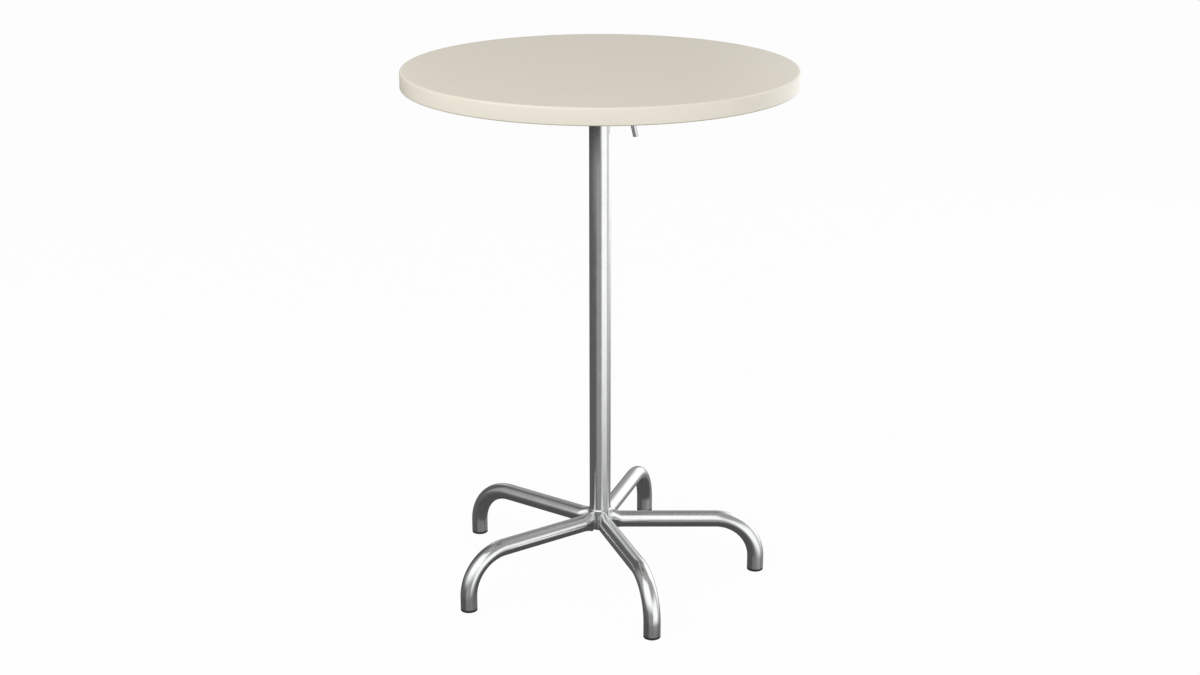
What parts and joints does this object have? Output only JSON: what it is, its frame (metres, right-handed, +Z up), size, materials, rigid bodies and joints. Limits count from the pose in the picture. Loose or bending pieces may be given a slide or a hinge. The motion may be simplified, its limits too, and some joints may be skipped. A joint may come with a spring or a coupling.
{
  "type": "high table",
  "caption": "Round high table: a laminated top that tilts upright about a clamped hinge freed by a hand lever, on a steel column with a star base of bent tube legs.",
  "frame": {"origin": "on the floor under the axis of the column", "axes": "+Z up; +X towards the hand lever and along one leg; +Y towards the side that the tilted top hangs on; the front edge of the top, at -Y, swings up"},
  "size_m": [0.8, 0.8, 1.1],
  "materials": {
    "top_laminate": "satin light cream laminate",
    "plywood": "raw plywood",
    "underside_laminate": "dull balancing laminate",
    "galvanised_steel": "hot-dip galvanised, satin, faintly mottled",
    "fitting_steel": "zinc coated, satin",
    "zinc_hardware": "bright zinc plated",
    "hardened_steel": "ground and hardened",
    "brass": "turned",
    "bronze": "sintered, oiled",
    "friction_fibre": "pressed fibre, dull",
    "buffer_rubber": "matt black",
    "glide_plastic": "moulded, slightly grained"
  },
  "bodies": {
    "stand": {"head_saddle": "galvanised_steel", "rest_bridge": "galvanised_steel", "rest_buffers": "buffer_rubber", "tilt_bridge": "galvanised_steel", "tilt_buffers": "buffer_rubber", "spacer_tube": "zinc_hardware", "friction_discs": "friction_fibre", "tie_rod": "zinc_hardware", "nut_washer": "zinc_hardware", "lock_nut": "zinc_hardware", "thrust_washer": "hardened_steel", "column_tube": "galvanised_steel", "base_hub": "galvanised_steel", "hub_floor": "galvanised_steel", "column_nut_plate": "galvanised_steel", "base_washer": "zinc_hardware", "base_bolt": "zinc_hardware", "leg_right": "galvanised_steel", "glide_right": "glide_plastic", "leg_back_right": "galvanised_steel", "glide_back_right": "glide_plastic", "leg_back_left": "galvanised_steel", "glide_back_left": "glide_plastic", "leg_front_left": "galvanised_steel", "glide_front_left": "glide_plastic", "leg_front": "galvanised_steel", "glide_front": "glide_plastic"},
    "top": {"top_shell": "top_laminate", "top_core": "plywood", "top_underside": "underside_laminate", "threaded_inserts": "brass", "mounting_screws": "zinc_hardware", "screw_washers": "zinc_hardware", "mount_plate": "fitting_steel", "lug_left": "fitting_steel", "lug_right": "fitting_steel", "pivot_bushes": "bronze"},
    "lever": {"cam_fork": "fitting_steel", "cross_pin": "hardened_steel", "lever_rod": "fitting_steel"}
  },
  "joints": [
    {"name": "top_tilt", "type": "hinge", "parent": "stand", "child": "top", "pos_m": [0, 0.02, 1.035], "axis": [-1, 0, 0], "range_deg": [0, 90]},
    {"name": "lever_swing", "type": "hinge", "parent": "stand", "child": "lever", "pos_m": [0.0555, 0.02, 1.035], "axis": [0, -1, 0], "range_deg": [0, 75]}
  ]
}
